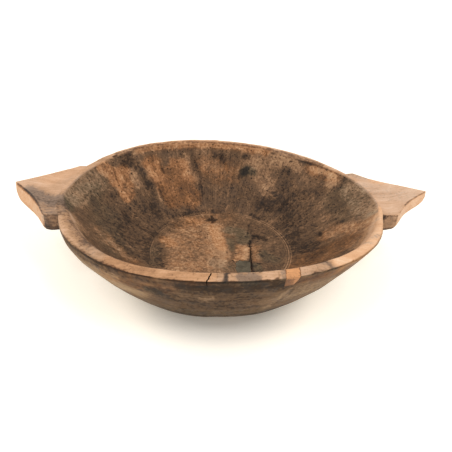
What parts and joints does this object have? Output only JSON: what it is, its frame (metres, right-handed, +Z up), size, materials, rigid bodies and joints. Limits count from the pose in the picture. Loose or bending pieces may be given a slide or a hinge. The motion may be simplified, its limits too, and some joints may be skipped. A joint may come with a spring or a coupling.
{
  "type": "wooden bowl",
  "caption": "Hand-carved oval wooden bowl with a round floor, flared walls, a flat worn lip and a wing-shaped lug handle at each end, for mixing or serving.",
  "frame": {"origin": "middle of the bounding box on the flat underside", "axes": "+X from the left handle to the right handle, +Y from the front to the back, +Z up out of the bowl"},
  "size_m": [0.522, 0.332, 0.1087],
  "materials": {
    "bowl_wood": "dry, stained and worn, darker inside than on the lip",
    "handle_wood": "dry and pale, rubbed smooth by hands",
    "patch_wood": "fresher orange wood, rubbed smooth",
    "filler": "dull grey-green filler"
  },
  "bodies": {
    "root": {"bowl_body": "bowl_wood", "left_handle": "handle_wood", "right_handle": "handle_wood", "rim_patch": "patch_wood", "floor_fill": "filler"}
  },
  "joints": []
}
